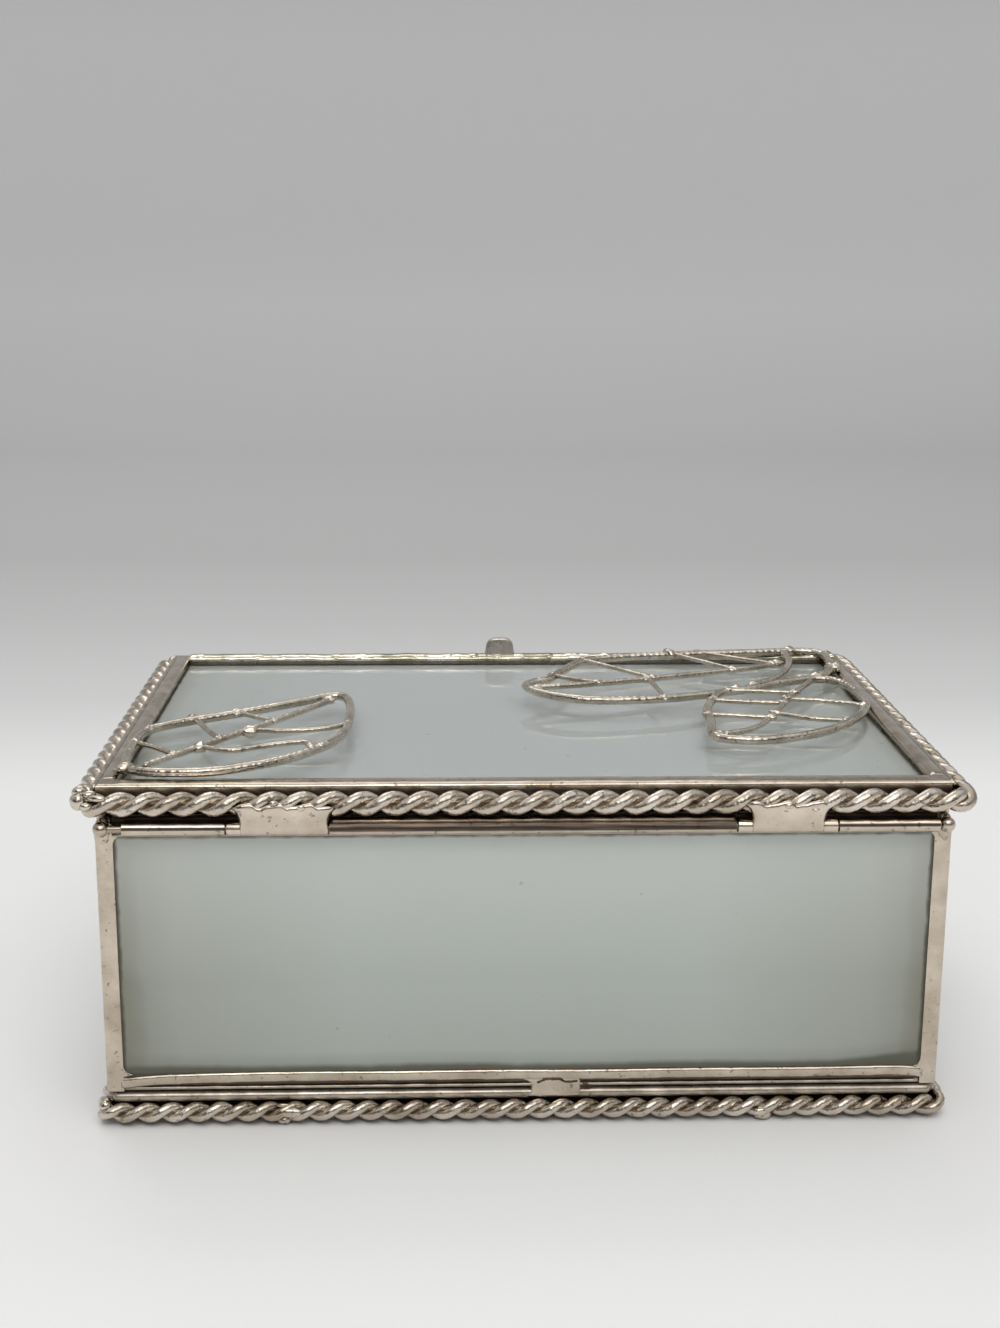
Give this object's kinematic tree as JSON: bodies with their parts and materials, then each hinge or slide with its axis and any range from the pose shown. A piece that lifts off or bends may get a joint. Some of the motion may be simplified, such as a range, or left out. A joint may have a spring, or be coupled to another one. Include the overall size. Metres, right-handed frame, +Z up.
{
  "type": "glass keepsake box",
  "caption": "Small rectangular box of frosted glass panels in silver solder, twisted wire rope round lid and base, wire leaves on a hinged lid.",
  "frame": {"origin": "middle of the footprint, on the surface that the feet stand on", "axes": "+Z up, +X along the length, +Y towards the edge that opens; the hinge is at -Y"},
  "size_m": [0.1578, 0.1083, 0.0679],
  "materials": {
    "frosted_glass": "pale grey-green glass, white-backed, polished face",
    "channel": "silver solder coat over channel, glossy, slightly uneven",
    "solder": "silver solder, glossy with soft lumps",
    "rope_wire": "tinned twisted wire, glossy",
    "leaf_wire": "tinned wire, glossy with solder drops",
    "hinge_metal": "tinned tube, smooth",
    "dark_metal": "dull dark metal"
  },
  "bodies": {
    "box": {"base_glass": "frosted_glass", "base_came_back": "channel", "base_came_front": "channel", "base_came_left": "channel", "base_came_right": "channel", "base_rope": "rope_wire", "foot_back_left": "solder", "foot_back_right": "solder", "foot_front_left": "solder", "foot_front_right": "solder", "wall_glass_back": "frosted_glass", "wall_glass_front": "frosted_glass", "wall_glass_left": "frosted_glass", "wall_glass_right": "frosted_glass", "post_back_left": "solder", "post_back_right": "solder", "post_front_left": "solder", "post_front_right": "solder", "bottom_rail_back": "solder", "bottom_rail_front": "solder", "bottom_rail_left": "solder", "bottom_rail_right": "solder", "top_rail_back": "solder", "top_rail_front": "solder", "top_rail_left": "solder", "top_rail_right": "solder", "solder_tacks": "solder", "hinge_tube_left": "hinge_metal", "hinge_tube_centre": "hinge_metal", "hinge_tube_right": "hinge_metal", "hinge_rod": "dark_metal", "rod_bead_left": "solder", "rod_bead_right": "solder"},
    "lid": {"lid_glass": "frosted_glass", "lid_came_back": "channel", "lid_came_front": "channel", "lid_came_left": "channel", "lid_came_right": "channel", "lid_rope": "rope_wire", "hinge_knuckle_left": "hinge_metal", "hinge_knuckle_right": "hinge_metal", "thumb_tab": "dark_metal", "left_leaf_outline": "leaf_wire", "left_leaf_midrib": "leaf_wire", "left_leaf_veins": "leaf_wire", "large_leaf_outline": "leaf_wire", "large_leaf_stalk": "leaf_wire", "large_leaf_midrib": "leaf_wire", "large_leaf_veins": "leaf_wire", "right_leaf_outline": "leaf_wire", "right_leaf_midrib": "leaf_wire", "right_leaf_veins": "leaf_wire"}
  },
  "joints": [
    {"name": "lid_hinge", "type": "hinge", "parent": "box", "child": "lid", "pos_m": [0, -0.0516, 0.0563], "axis": [1, 0, 0], "range_deg": [0, 140]}
  ]
}
